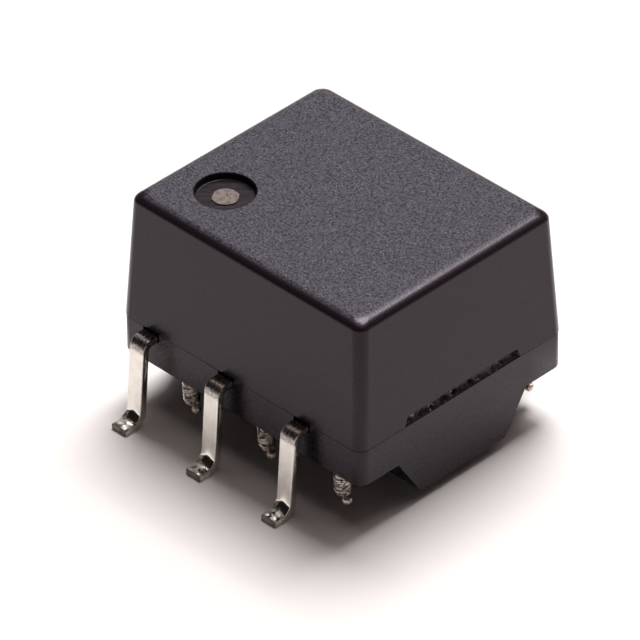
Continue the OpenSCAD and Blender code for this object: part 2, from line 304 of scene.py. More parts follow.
def mixOf(finish, share, first, second, kind="RGBA"):
    node = finish.node_tree.nodes.new("ShaderNodeMix")
    node.data_type = kind
    for key, value in (("Factor", share), ("A", first), ("B", second)):
        feed(finish, value, node.inputs[key])
    return node.outputs["Result"]


def coordinate(finish, where, axis):
    node = finish.node_tree.nodes.new("ShaderNodeSeparateXYZ")
    feed(finish, where, node.inputs["Vector"])
    return node.outputs[axis]


def cellsOf(finish, where, scale):
    cells = finish.node_tree.nodes.new("ShaderNodeTexVoronoi")
    cells.inputs["Scale"].default_value = scale
    feed(finish, where, cells.inputs["Vector"])
    return cells.outputs


def cellSpots(finish, where, scale, rarity, size):
    cells = cellsOf(finish, where, scale)
    tone = finish.node_tree.nodes.new("ShaderNodeSeparateColor")
    feed(finish, cells["Color"], tone.inputs["Color"])
    chosen = rangeOf(finish, tone.outputs["Red"], *rarity)
    return product(finish, chosen, rangeOf(finish, cells["Distance"], *size, 1.0, 0.0))


def facetField(finish, where, scale):
    cells = cellsOf(finish, where, scale)
    away = vectorMaths(finish, "SUBTRACT", where, cells["Position"])  # from the middle of the cell
    lean = vectorMaths(finish, "SUBTRACT", cells["Color"], (0.5, 0.5, 0.5))  # each cell tilts its own way
    return vectorMaths(finish, "DOT_PRODUCT", away, lean)


def bumpFrom(finish, shader, height, depth=1.0):
    node = finish.node_tree.nodes.new("ShaderNodeBump")
    node.inputs["Distance"].default_value = depth * mm
    feed(finish, height, node.inputs["Height"])
    feed(finish, node.outputs["Normal"], shader.inputs["Normal"])


def makeMottledFinish(name, s):
    finish, shader, where = startFinish(name)
    field = noiseField(finish, where, *s["noise"])
    share = rangeOf(finish, field, *s["spread"])
    feed(finish, mixOf(finish, share, s["most"], s["rest"]), shader.inputs["Base Color"])
    dullness = s["roughness"]
    if isinstance(dullness, tuple):
        dullness = rangeOf(finish, field, *dullness)
    feed(finish, dullness, shader.inputs["Roughness"])
    bumpFrom(finish, shader, field, s["depth"])
    return finish


# cap

capShape = {
    "halfLength": 4.03, "halfWidth": 3.45, "partingZ": 2.45, "topZ": 5.95,
    "topHalfLength": 3.85, "topHalfWidth": 3.237, "cornerRadius": 0.30, "cornerSteps": 10,
    "edgeRun": 0.40, "edgeDrop": 0.22, "edgeSteps": 14,
    "wall": 0.50, "roof": 0.45, "innerRadius": 0.15, "innerSteps": 6, "cavityPast": 0.05,
    "slotHalf": 2.0, "slotHeight": 0.27, "slotFlare": 0.16, "slotPast": 0.1, "slotThrough": 1.0,
    "dimpleX": -2.28, "dimpleY": -1.59, "dimpleRadius": 0.75, "dimpleDepth": 0.20,
    "dimpleSides": 96, "dimpleRound": 0.05, "dimpleLip": 0.035, "dimplePast": 0.3,
    "partingEdge": 0.022, "edge": 0.015, "edgeAngle": 50,
}
capLook = {
    # the top's colour stands for its grain and partly for painted light from the overhead lamp, which the
    # sides do not get; the bright spots are painted glints
    "side": (0.012, 0.007, 0.010), "top": (0.066, 0.062, 0.079),
    "pit": (0.010, 0.009, 0.012), "paintedGlint": (0.19, 0.185, 0.205),
    "dimpleDark": (0.014, 0.011, 0.014), "dimplePale": (0.032, 0.026, 0.032),
    "specular": 0.265, "tint": (1.0, 0.88, 1.0),
    "sideRoughness": 0.23, "topRoughness": 0.55, "dimpleRoughness": 0.20,
    "roughnessLess": 0.04, "roughnessMore": 0.06,
    # each noise has its scale, detail and roughness, and the streaks also their stretch and turn
    "grain": (16.0, 3.0, 0.62), "fine": (30.0, 2.0, 0.5), "cloud": (1.1, 3.0, 0.6),
    "streak": (2.2, 3.0, 0.6, (0.5, 9.0, 1.0), math.radians(-45)),
    "pitSpread": (0.56, 0.38), "cloudSpread": (0.30, 0.75, 0.0, 0.50),
    "streakSpread": (0.38, 0.70), "fineSpread": (0.3, 0.7),
    "glintScale": 22.0, "glintRarity": (0.62, 0.74), "glintSize": (0.20, 0.40),
    "grainDepth": 0.022, "sideDepth": 0.002, "streakDepth": 0.004,
    # how far under the top the sides' finish and the dimple's give way to the top's, whose lighter colour
    # is partly painted light
    "paintedLitTopFade": (0.065, 0.005), "dullFade": (0.03, 0.0), "dimpleFade": (0.15, 0.09), "dimpleRim": 0.03,
}


def makeCapFinish(s, shape):
    finish, shader, where = startFinish("capMoulding")
    height = coordinate(finish, where, "Z")
    paintedLitTopZ, dullZ, dimpleZ = (
        [shape["topZ"] - depth for depth in s[key]] for key in ("paintedLitTopFade", "dullFade", "dimpleFade"))
    paintedLitTopShare = rangeOf(finish, height, *paintedLitTopZ)
    dullShare = rangeOf(finish, height, *dullZ)
    flatPlace = vectorMaths(finish, "MULTIPLY", where, (1, 1, 0))
    fromMiddle = vectorMaths(finish, "DISTANCE", flatPlace, (shape["dimpleX"], shape["dimpleY"], 0))
    rim = (shape["dimpleRadius"] - s["dimpleRim"], shape["dimpleRadius"])
    inDimple = product(
        finish, rangeOf(finish, fromMiddle, *rim, 1.0, 0.0), rangeOf(finish, height, *dimpleZ, 1.0, 0.0))

    grain = noiseField(finish, where, *s["grain"])
    fine = noiseField(finish, where, *s["fine"])
    cloud = noiseField(finish, where, *s["cloud"])
    streak = noiseField(finish, where, *s["streak"])
    mottled = mixOf(finish, rangeOf(finish, grain, *s["pitSpread"]), s["top"], s["pit"])
    # bright spots on the top are painted glints, for facets of the grain catching the lamp
    paintedGlints = cellSpots(finish, where, s["glintScale"], s["glintRarity"], s["glintSize"])
    paintedGlinted = mixOf(finish, paintedGlints, mottled, s["paintedGlint"])
    side = mixOf(finish, rangeOf(finish, cloud, *s["cloudSpread"]), s["side"], s["pit"])
    dimple = mixOf(finish, rangeOf(finish, streak, *s["streakSpread"]), s["dimpleDark"], s["dimplePale"])
    # the top's lighter colour, partly painted light, reaches down the rounded edges and so brightens and
    # widens their highlight
    body = mixOf(finish, paintedLitTopShare, side, paintedGlinted)
    feed(finish, mixOf(finish, inDimple, body, dimple), shader.inputs["Base Color"])

    polish = rangeOf(
        finish, fine, *s["fineSpread"],
        s["sideRoughness"] - s["roughnessLess"], s["sideRoughness"] + s["roughnessMore"])
    dull = product(finish, dullShare, s["topRoughness"] - s["sideRoughness"])
    gloss = product(finish, inDimple, s["dimpleRoughness"] - s["sideRoughness"])
    feed(finish, total(finish, polish, dull, gloss), shader.inputs["Roughness"])
    shader.inputs["Specular IOR Level"].default_value = s["specular"]
    shader.inputs["Specular Tint"].default_value = (*s["tint"], 1.0)
    rough = product(finish, grain, product(finish, dullShare, s["grainDepth"]))
    smooth = product(finish, fine, s["sideDepth"])
    combed = product(finish, streak, product(finish, inDimple, s["streakDepth"]))
    bumpFrom(finish, shader, total(finish, rough, smooth, combed))
    return finish


def roundTopEdge(cap, s, edgeX, edgeY):
    openMesh(cap)
    pick(cap, "faces", looksUp)
    run, rise = 0.0, 0.0
    for step in range(1, s["edgeSteps"] + 1):
        turn = math.pi / 2 * step / s["edgeSteps"]
        newRun = s["edgeRun"] * (1 - math.cos(turn))
        newRise = s["edgeDrop"] * math.sin(turn)
        bpy.ops.mesh.extrude_region_move(TRANSFORM_OT_translate={"value": (0, 0, newRise - rise)})
        narrower = [(edge - newRun) / (edge - run) for edge in (edgeX, edgeY)]
        bpy.ops.transform.resize(value=(*narrower, 1))
        run, rise = newRun, newRise
    pick(cap, "edges", lambda e: isUnder(e, s["partingZ"]))
    bpy.ops.mesh.bevel(offset=s["partingEdge"], segments=3, affect="EDGES")
    closeMesh()


def cutEndSlots(cap, s):
    slot = addBlock(
        "slotTool", (-s["halfLength"] - s["slotThrough"], -s["slotHalf"], s["partingZ"] - s["slotPast"]),
        (s["halfLength"] + s["slotThrough"], s["slotHalf"], s["partingZ"] + s["slotHeight"]))
    openMesh(slot)
    pick(slot, "faces", looksUp)
    bpy.ops.transform.resize(value=(1, 1 - s["slotFlare"] / s["slotHalf"], 1))
    closeMesh()
    carve(cap, slot)


def sinkDimple(cap, s):
    floorZ = s["topZ"] - s["dimpleDepth"]
    dimple = addRod(
        "dimpleTool", s["dimpleX"], s["dimpleY"], floorZ, s["topZ"] + s["dimplePast"],
        s["dimpleRadius"], s["dimpleSides"])
    openMesh(dimple)
    pick(dimple, "edges", lambda e: isUnder(e, floorZ))
    bpy.ops.mesh.bevel(offset=s["dimpleRound"], segments=4, affect="EDGES")
    closeMesh()
    carve(cap, dimple)

    middle = Vector((s["dimpleX"], s["dimpleY"]))
    openMesh(cap)  # a softer lip round the dimple than on the other edges
    pick(cap, "edges", lambda e: all(
        abs(v.co.z - s["topZ"]) < touch and abs((v.co.xy - middle).length - s["dimpleRadius"]) < 2 * touch
        for v in e.verts))
    bpy.ops.mesh.bevel(offset=s["dimpleLip"], segments=3, affect="EDGES")
    closeMesh()


def makeCap(s):
    share = s["edgeDrop"] / (s["topZ"] - s["partingZ"])
    edgeX = s["topHalfLength"] + (s["halfLength"] - s["topHalfLength"]) * share
    edgeY = s["topHalfWidth"] + (s["halfWidth"] - s["topHalfWidth"]) * share
    cap = draftedBlock(
        "capShell", (s["halfLength"], s["halfWidth"]), (edgeX, edgeY),
        s["partingZ"], s["topZ"] - s["edgeDrop"], s["cornerRadius"], s["cornerSteps"])
    roundTopEdge(cap, s, edgeX, edgeY)
    cavity = draftedBlock(
        "capCavity", (s["halfLength"] - s["wall"], s["halfWidth"] - s["wall"]),
        (s["topHalfLength"] - s["wall"], s["topHalfWidth"] - s["wall"]),
        s["partingZ"] - s["cavityPast"], s["topZ"] - s["roof"], s["innerRadius"], s["innerSteps"])
    carve(cap, cavity)
    cutEndSlots(cap, s)
    sinkDimple(cap, s)
    breakEdges(cap, s["edge"], s["edgeAngle"])
    return cap


capFinish = makeCapFinish(capLook, capShape)
settle(makeCap(capShape), capFinish, ["cap"], evenFaces=True)


# broken-off gate in the dimple

gateShape = {
    "radius": 0.325, "sides": 40, "lift": 0.03, "sink": 0.02, "rings": 3, "inset": 0.22,
    "grain": 0.12, "ragged": 0.07, "roughness": 0.02,
}
gateLook = {
    "most": (0.20, 0.155, 0.138), "rest": (0.085, 0.068, 0.066),
    "noise": (9.0, 4.0, 0.65), "spread": (0.45, 0.66), "roughness": 0.7, "depth": 0.04,
}


def makeGate(s, cap):
    floorZ = cap["topZ"] - cap["dimpleDepth"]
    gate = addRod(
        "gateBreak", cap["dimpleX"], cap["dimpleY"], floorZ - s["sink"], floorZ + s["lift"],
        s["radius"], s["sides"])
    openMesh(gate)
    pick(gate, "faces", looksUp)
    for ring in range(s["rings"]):
        bpy.ops.mesh.inset(thickness=s["radius"] * s["inset"])
    closeMesh()
    for direction, strength in (("X", s["ragged"]), ("Y", s["ragged"]), ("Z", s["roughness"])):
        roughen(gate, "gateCrumble", s["grain"], strength, direction)
    return gate


gateFinish = makeMottledFinish("gateBreak", gateLook)
settle(makeGate(gateShape, capShape), gateFinish, [])


# base, with seats for the terminals

baseShape = {
    "halfLength": 4.02, "halfWidth": 3.44, "lowZ": 1.45, "partingZ": 2.45,
    "cornerRadius": 0.30, "cornerSteps": 10,
    "keelTop": 2.1666, "keelFoot": 1.4339, "keelZ": 0.30, "keelRound": 0.066,
    "floorZ": 1.75, "pocketX": 3.46, "pocketY": 2.55,
    "pocketRadius": 0.15, "pocketSteps": 6, "pocketPast": 1.0,
    "troughZ": 0.60, "troughFoot": 1.270, "troughTop": 2.002, "troughPast": 0.0005,
    "ribIn": 2.65, "ribOut": 2.91, "ribX": 3.31, "ribHeight": 0.35, "ribSink": 0.05,
    # how far the tools for the terminals' seats and holes go past the faces they open
    "seatOut": 0.1, "seatPast": 0.2, "holePast": 0.1, "holeIn": 0.05,
    "partingEdge": 0.022, "edge": 0.015, "edgeAngle": 32,
}
baseLook = {
    "colour": (0.007, 0.004, 0.006), "worn": (0.012, 0.008, 0.010),
    "specular": 0.32, "tint": (1.0, 0.88, 1.0),
    "roughness": 0.28, "roughnessLess": 0.04, "roughnessMore": 0.08,
    "grain": (22.0, 2.0, 0.5), "grainSpread": (0.3, 0.7), "grainDepth": 0.0012,
    "cloud": (1.4, 3.0, 0.6), "cloudSpread": (0.35, 0.75),
}
terminalShape = {
    "pitch": 2.54, "rowShift": 0.46, "postShift": 1.00, "width": 0.48, "thick": 0.20,
    "seatZ": 2.19, "innerY": 2.98, "faceY": 3.44, "shoulder": 0.20,
    "bend": 0.10, "heel": 0.18, "lean": 4.6, "foot": 0.339,
    "columns": 12, "bendSteps": 8, "legSteps": 12, "heelSteps": 14, "footSteps": 8,
    "heelFill": ((0.25, 0.022, 0.20), (0.01, 0.060, 0.26)),  # half width, lift and reach of each pull
    "heelBand": 0.04, "heelEdge": 0.01, "heelSkin": 0.005,
    "heelTopZ": 0.75, "heelMargin": 0.1, "heelSmooth": 4,
    "footFall": 0.045, "footRim": 0.13, "footSkin": 0.012, "footStart": 0.04,
    "footRise": 0.020, "footCrown": 0.20, "crownHalf": (0.05, 0.03),
    "postY": 3.10, "postRadius": 0.14, "postTip": 0.10, "postTaper": 1.45, "postEnd": 0.5894,
    "postSides": 32, "postEdge": 0.02, "headZ": 2.41,
    "barWidth": 0.24, "barStart": 0.01, "barSkin": 0.004,
    "gap": 0.03, "wireHole": 0.09, "wireSides": 24, "wireX": 0.20, "wireY": 2.43,
    "edge": 0.028, "edgeAngle": 40,
}


def makeBaseFinish(s):
    finish, shader, where = startFinish("baseMoulding")
    grain = noiseField(finish, where, *s["grain"])
    cloud = noiseField(finish, where, *s["cloud"])
    colour = mixOf(finish, rangeOf(finish, cloud, *s["cloudSpread"]), s["colour"], s["worn"])
    feed(finish, colour, shader.inputs["Base Color"])
    polish = rangeOf(
        finish, grain, *s["grainSpread"],
        s["roughness"] - s["roughnessLess"], s["roughness"] + s["roughnessMore"])
    feed(finish, polish, shader.inputs["Roughness"])
    shader.inputs["Specular IOR Level"].default_value = s["specular"]
    shader.inputs["Specular Tint"].default_value = (*s["tint"], 1.0)
    bumpFrom(finish, shader, grain, s["grainDepth"])
    return finish


def leadPlaces(t):
    return [((row - 1) * t["pitch"] - t["rowShift"], side) for side in (-1, 1) for row in range(3)]


def roundRim(base, s):
    roundCorners(base, s["cornerRadius"], s["cornerSteps"])
    pick(base, "edges", lambda e: isOver(e, s["partingZ"]))
    bpy.ops.mesh.bevel(offset=s["partingEdge"], segments=3, affect="EDGES")


def drawKeel(base, s):
    for side in (-1, 1):
        bpy.ops.mesh.select_all(action="SELECT")
        bpy.ops.mesh.bisect(plane_co=(0, side * s["keelTop"], 0), plane_no=(0, 1, 0))
    pick(base, "faces", lambda f: looksDown(f) and abs(f.calc_center_median().y) < s["keelTop"])
    bpy.ops.mesh.extrude_region_move(TRANSFORM_OT_translate={"value": (0, 0, s["keelZ"] - s["lowZ"])})
    bpy.ops.transform.resize(value=(1, s["keelFoot"] / s["keelTop"], 1))
    pick(base, "edges", lambda e: e.verts[0].co.y * e.verts[1].co.y > 0 and all(
        abs(v.co.z - s["keelZ"]) < touch and abs(abs(v.co.y) - s["keelFoot"]) < touch for v in e.verts))
    bpy.ops.mesh.bevel(offset=s["keelRound"], segments=5, affect="EDGES")


def hollowBase(base, s):
    half = (s["pocketX"], s["pocketY"])
    pocket = draftedBlock(
        "pocketTool", half, half, s["floorZ"], s["partingZ"] + s["pocketPast"],
        s["pocketRadius"], s["pocketSteps"])
    carve(base, pocket)
    trough = addBlock(
        "troughTool", (-s["pocketX"], -s["troughTop"], s["troughZ"]),
        (s["pocketX"], s["troughTop"], s["floorZ"] + s["troughPast"]))
    openMesh(trough)
    pick(trough, "faces", looksDown)
    bpy.ops.transform.resize(value=(1, s["troughFoot"] / s["troughTop"], 1))
    closeMesh()
    carve(base, trough)


def addRibs(base, s):
    ribs = []
    for side in (-1, 1):
        near, far = sorted((side * s["ribIn"], side * s["ribOut"]))
        ribs.append(addBlock(
            "rib", (-s["ribX"], near, s["partingZ"] - s["ribSink"]),
            (s["ribX"], far, s["partingZ"] + s["ribHeight"])))
    carve(base, joinAll("ribs", ribs), "UNION")


def cutLeadSeats(base, s, t):
    half = t["width"] / 2 + t["gap"]
    barHalf = t["barWidth"] / 2 + t["gap"]
    seatTop = s["partingZ"] + s["seatPast"]
    channels, bars, posts, wires = [], [], [], []
    for x, side in leadPlaces(t):
        postX = x + t["postShift"]
        near, far = sorted((side * (t["postY"] - barHalf), side * (t["faceY"] + s["seatOut"])))
        channels.append(addBlock("channel", (x - half, near, t["seatZ"]), (x + half, far, seatTop)))
        near, far = sorted((side * (t["postY"] - barHalf), side * (t["postY"] + barHalf)))
        bars.append(addBlock("bar", (x, near, t["seatZ"]), (postX + barHalf, far, seatTop)))
        posts.append(addRod(
            "post", postX, side * t["postY"], s["lowZ"] - s["holePast"], t["seatZ"] + s["holeIn"],
            t["postRadius"], t["postSides"]))
        wires.append(addRod(
            "wireHole", postX + t["wireX"], side * t["wireY"], s["lowZ"] - s["holePast"],
            s["floorZ"] + s["holeIn"], t["wireHole"], t["wireSides"]))
    for tools in (channels, bars, posts, wires):
        carve(base, joinAll("tools", tools))


def makeBase(s, t):
    base = addBlock(
        "baseBody", (-s["halfLength"], -s["halfWidth"], s["lowZ"]),
        (s["halfLength"], s["halfWidth"], s["partingZ"]))
    openMesh(base)
    roundRim(base, s)
    drawKeel(base, s)
    closeMesh()
    hollowBase(base, s)
    addRibs(base, s)
    cutLeadSeats(base, s, t)
    breakEdges(base, s["edge"], s["edgeAngle"])
    return base


baseFinish = makeBaseFinish(baseLook)
settle(makeBase(baseShape, terminalShape), baseFinish, ["base"], evenFaces=True)


# terminals

tinLook = {
    "bright": (0.77, 0.74, 0.69), "dull": (0.68, 0.645, 0.60),
    # the dark shoulder colour is partly soot and partly painted shade
    "sootAndShade": (0.31, 0.275, 0.265), "cut": (0.30, 0.26, 0.23),
    "roughness": 0.10, "roughnessLess": 0.04, "roughnessMore": 0.08,
    "shoulderRoughness": 0.16, "footRoughness": (0.08, 0.40), "cutRoughness": 0.35,
    "patches": (3.2, 3.0, 0.6), "patchSpread": (0.40, 0.72),
    "rolled": (9.0, 2.0, 0.6, (1.0, 0.25, 0.12)), "rolledSpread": (0.3, 0.75), "rolledDepth": 0.003,
    "dents": (15.0, 3.0, 0.6), "sootAndShadeSpread": (0.75, 0.45), "dentDepth": 0.008,
    "frost": (5.0, 3.0, 0.6), "frostSpread": (0.36, 0.54),
    "facetScale": 8.0, "facetTilt": 0.30,
    # heights and distances from the middle between which each stretch of the strip begins
    "shoulderZ": (2.02, 2.14), "footZ": (0.25, 0.32), "footY": (4.20, 4.30), "cutY": (4.566, 4.584),
}


def makeTinFinish(s):
    finish, shader, where = startFinish("brightTin")
    height = coordinate(finish, where, "Z")
    outward = maths(finish, "ABSOLUTE", coordinate(finish, where, "Y"))
    shoulderShare = rangeOf(finish, height, *s["shoulderZ"])
    cutShare = rangeOf(finish, outward, *s["cutY"])
    footShare = product(
        finish, rangeOf(finish, height, *s["footZ"], 1.0, 0.0), rangeOf(finish, outward, *s["footY"]))

    patches = noiseField(finish, where, *s["patches"])
    rolled = noiseField(finish, where, *s["rolled"])
    dents = noiseField(finish, where, *s["dents"])
    frost = noiseField(finish, where, *s["frost"])
    plated = mixOf(finish, rangeOf(finish, patches, *s["patchSpread"]), s["bright"], s["dull"])
    # the shoulders darken under the case: partly soot, partly painted shade for the dark case wall
    # mirrored in them
    sootAndShadeShare = product(finish, shoulderShare, rangeOf(finish, dents, *s["sootAndShadeSpread"]))
    sootAndShadeMixed = mixOf(finish, sootAndShadeShare, plated, s["sootAndShade"])
    feed(finish, mixOf(finish, cutShare, sootAndShadeMixed, s["cut"]), shader.inputs["Base Color"])

    polish = rangeOf(
        finish, rolled, *s["rolledSpread"],
        s["roughness"] - s["roughnessLess"], s["roughness"] + s["roughnessMore"])
    worn = product(finish, shoulderShare, s["shoulderRoughness"])
    frosted = product(finish, footShare, rangeOf(finish, frost, *s["frostSpread"], *s["footRoughness"]))
    sawn = product(finish, cutShare, s["cutRoughness"])
    feed(finish, total(finish, polish, worn, frosted, sawn), shader.inputs["Roughness"])
    shader.inputs["Metallic"].default_value = 1.0
    flat = product(finish, rolled, s["rolledDepth"])
    dented = product(finish, dents, product(finish, shoulderShare, s["dentDepth"]))
    crystals = product(
        finish, facetField(finish, where, s["facetScale"]), product(finish, footShare, s["facetTilt"]))
    bumpFrom(finish, shader, total(finish, flat, dented, crystals))
    return finish


def stripBends(s):  # the course of the strip's middle
    lean = math.radians(s["lean"])
    bendRadius = s["bend"] + s["thick"] / 2
    heelRadius = s["heel"] + s["thick"] / 2
    legLength = (s["seatZ"] - (bendRadius + heelRadius) * (1 - math.sin(lean))) / math.cos(lean)
    bendY = s["faceY"] + s["shoulder"]
    legEndY = bendY + bendRadius * math.cos(lean) + legLength * math.sin(lean)
    legEndZ = s["thick"] / 2 + heelRadius * (1 - math.sin(lean))
    return {
        "heelRadius": heelRadius, "turn": math.radians(90 - s["lean"]),
        "legRun": math.sin(lean) * legLength, "legDrop": math.cos(lean) * legLength,
        "bendY": bendY, "bendZ": s["seatZ"] + s["thick"] / 2 - bendRadius,
        "heelY": legEndY + heelRadius * math.cos(lean), "heelZ": legEndZ + heelRadius * math.sin(lean),
    }


def extrudeEdge(y, z):
    bpy.ops.mesh.extrude_region_move(TRANSFORM_OT_translate={"value": (0, y, z)})


def bendStrip(s, bends):
    middleZ = s["seatZ"] + s["thick"] / 2
    dropSelection()
    bpy.ops.mesh.primitive_plane_add(size=s["width"], location=(0, s["innerY"] + s["width"] / 2, middleZ))
    strip = nameIt("terminalStrip")
    openMesh(strip)
    pick(strip, "verts", lambda v: v.co.y > s["innerY"] + touch)
    bpy.ops.mesh.delete(type="VERT")  # only the inner edge is left, to be drawn out
    pick(strip, "edges", lambda e: True)
    bpy.ops.mesh.subdivide(number_cuts=s["columns"] - 1)
    extrudeEdge(bends["bendY"] - s["innerY"], 0)
    bpy.ops.mesh.spin(
        steps=s["bendSteps"], angle=bends["turn"], axis=(1, 0, 0),
        center=(0, bends["bendY"], bends["bendZ"]))
    for row in range(s["legSteps"]):
        extrudeEdge(bends["legRun"] / s["legSteps"], -bends["legDrop"] / s["legSteps"])
    bpy.ops.mesh.spin(
        steps=s["heelSteps"], angle=bends["turn"], axis=(-1, 0, 0),
        center=(0, bends["heelY"], bends["heelZ"]))
    for row in range(s["footSteps"]):
        extrudeEdge(s["foot"] / s["footSteps"], 0)
    closeMesh()
    step = strip.modifiers.new("gauge", "SOLIDIFY")
    step.thickness = s["thick"]
    step.offset = 0
    bpy.ops.object.modifier_apply(modifier=step.name)
    return strip


def fillHeel(strip, s, bends):
    hollow = Vector((bends["heelY"], s["thick"] + s["heel"]))  # the middle of the heel's inner round
    for across, lift, reach in s["heelFill"]:  # tin gathers in the heel, most of all in its middle
        pick(strip, "verts", lambda v: (
            abs(v.co.x) < across
            and abs((v.co.yz - hollow).length - s["heel"]) < s["heelBand"]
            and abs(v.co.y - hollow.x - (v.co.z - hollow.y)) < s["heelBand"]))
        pullSoftly((0, lift, lift), "SMOOTH", reach)
    pick(strip, "verts", lambda v: (
        abs(v.co.x) < s["width"] / 2 - s["heelEdge"]
        and s["thick"] + s["heelSkin"] < v.co.z < s["heelTopZ"]
        and v.co.y > bends["heelY"] - bends["heelRadius"]
        and (v.co.yz - hollow).length < s["heel"] + s["heelMargin"]))
    bpy.ops.mesh.vertices_smooth(factor=0.5, repeat=s["heelSmooth"])


def shapeFoot(strip, s, heelY):
    half = s["width"] / 2
    middleY, endY = heelY + s["foot"] / 2, heelY + s["foot"]
    pick(strip, "verts", lambda v: (
        abs(v.co.z - s["thick"]) < s["footSkin"] and v.co.y > heelY + s["footStart"]
        and (abs(v.co.x) > half - touch or v.co.y > endY - touch)))
    pullSoftly((0, 0, -s["footFall"]), "SHARP", s["footRim"])  # the foot falls away round its edge
    crownX, crownY = s["crownHalf"]
    pick(strip, "verts", lambda v: (
        v.co.z > s["thick"] / 2 and abs(v.co.x) < crownX and abs(v.co.y - middleY) < crownY))
    pullSoftly((0, 0, s["footRise"]), "SMOOTH", s["footCrown"])  # and the tin stands proud in its middle


def makePost(s):
    post = addRod(
        "windingPost", s["postShift"], s["postY"], s["postEnd"], s["headZ"],
        s["postRadius"], s["postSides"])
    openMesh(post)
    bpy.ops.mesh.select_all(action="SELECT")
    bpy.ops.mesh.bisect(plane_co=(0, 0, s["postTaper"]), plane_no=(0, 0, 1))
    pick(post, "faces", looksDown)
    bpy.ops.transform.resize(value=(s["postTip"] / s["postRadius"], s["postTip"] / s["postRadius"], 1))
    closeMesh()
    breakEdges(post, s["postEdge"], s["edgeAngle"])
    return post


def makeTerminal(s):
    bends = stripBends(s)
    terminal = bendStrip(s, bends)
    openMesh(terminal)
    turnOutward()
    fillHeel(terminal, s, bends)
    shapeFoot(terminal, s, bends["heelY"])
    closeMesh()
    breakEdges(terminal, s["edge"], s["edgeAngle"], segments=3)
    barHalf, skin = s["barWidth"] / 2, s["barSkin"]
    bar = addBlock(
        "crossBar", (s["barStart"], s["postY"] - barHalf + skin, s["seatZ"] + skin),
        (s["postShift"], s["postY"] + barHalf, s["seatZ"] + s["thick"] - skin))
    carve(terminal, bar, "UNION")
    carve(terminal, makePost(s), "UNION")
    return terminal


tinFinish = makeTinFinish(tinLook)
terminalMaster = makeTerminal(terminalShape)
terminalNumbers = (1, 2, 3, 6, 5, 4)  # counted round the part from the dimple
for number, (x, side) in zip(terminalNumbers, leadPlaces(terminalShape)):
    twin = copyPiece(terminalMaster, f"terminalStrip{number}", (x, 0, 0), (1, side, 1))
    settle(twin, tinFinish, [f"terminal_{number}"], evenFaces=True)
bpy.data.objects.remove(terminalMaster, do_unlink=True)


# windings

windingShape = {"merge": 0.0005, "fatten": 0.0054}
wireLook = {
    "copper": (0.55, 0.24, 0.10), "tinned": (0.66, 0.61, 0.56), "flux": (0.12, 0.095, 0.08),
    "coatZ": (1.32, 1.42),  # the enamel begins here, above the tinned wraps
    "patches": (7.0, 3.0, 0.6), "fluxSpread": (0.46, 0.58), "roughness": (0.35, 0.7, 0.30, 0.52),
    "lumps": (18.0, 2.0, 0.5), "depth": 0.02,
}


def makeWireFinish(s):
    finish, shader, where = startFinish("windingWire")
    tinnedShare = rangeOf(finish, coordinate(finish, where, "Z"), *s["coatZ"], 1.0, 0.0)
    patches = noiseField(finish, where, *s["patches"])
    tinned = mixOf(finish, rangeOf(finish, patches, *s["fluxSpread"]), s["tinned"], s["flux"])
    feed(finish, mixOf(finish, tinnedShare, s["copper"], tinned), shader.inputs["Base Color"])
    feed(finish, rangeOf(finish, patches, *s["roughness"]), shader.inputs["Roughness"])
    shader.inputs["Metallic"].default_value = 1.0
    bumpFrom(finish, shader, noiseField(finish, where, *s["lumps"]), s["depth"])
    return finish


def makeWinding(number, s):
    takeHold(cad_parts[f"winding_{number}"])
    bpy.ops.object.duplicate()
    wire = bpy.context.object
    wire.scale = (1 / mm, 1 / mm, 1 / mm)
    nameIt(f"windingWire{number}")
    openMesh(wire)
    bpy.ops.mesh.select_all(action="SELECT")
    bpy.ops.mesh.remove_doubles(threshold=s["merge"])
    bpy.ops.mesh.tris_convert_to_quads()
    bpy.ops.mesh.normals_make_consistent(inside=False)
    # the rounding below draws an octagon in by this much
    bpy.ops.transform.shrink_fatten(value=s["fatten"])
    closeMesh()
    step = wire.modifiers.new("round", "SUBSURF")
    step.levels = 1
    step.render_levels = 1
    bpy.ops.object.modifier_apply(modifier=step.name)
    return wire


wireFinish = makeWireFinish(wireLook)
for number in (1, 2, 3):
    wire = makeWinding(number, windingShape)
    settle(wire, wireFinish, [f"winding_{number}"], smoothAngle=180)


# solder under the posts

beadShape = {
    "radius": 0.12, "segments": 32, "rings": 20, "shiftX": 0.15, "centreZ": 0.51, "topZ": 0.5894,
    "grain": 0.16, "lump": 0.03, "turn": 1.1,
}
solderLook = {
    "bright": (0.80, 0.72, 0.67), "copper": (0.66, 0.48, 0.42), "flux": (0.10, 0.075, 0.07),
    "patches": (6.0, 3.0, 0.6), "copperSpread": (0.45, 0.65), "roughness": (0.35, 0.7, 0.34, 0.55),
    "stain": (11.0, 2.0, 0.5), "fluxSpread": (0.55, 0.65),
    "lumps": (18.0, 2.0, 0.5), "depth": 0.02,
}


def makeSolderFinish(s):
    finish, shader, where = startFinish("solderLump")
    patches = noiseField(finish, where, *s["patches"])
    stain = noiseField(finish, where, *s["stain"])
    metal = mixOf(finish, rangeOf(finish, patches, *s["copperSpread"]), s["bright"], s["copper"])
    stained = mixOf(finish, rangeOf(finish, stain, *s["fluxSpread"]), metal, s["flux"])
    feed(finish, stained, shader.inputs["Base Color"])
    feed(finish, rangeOf(finish, patches, *s["roughness"]), shader.inputs["Roughness"])
    shader.inputs["Metallic"].default_value = 1.0
    bumpFrom(finish, shader, noiseField(finish, where, *s["lumps"]), s["depth"])
    return finish


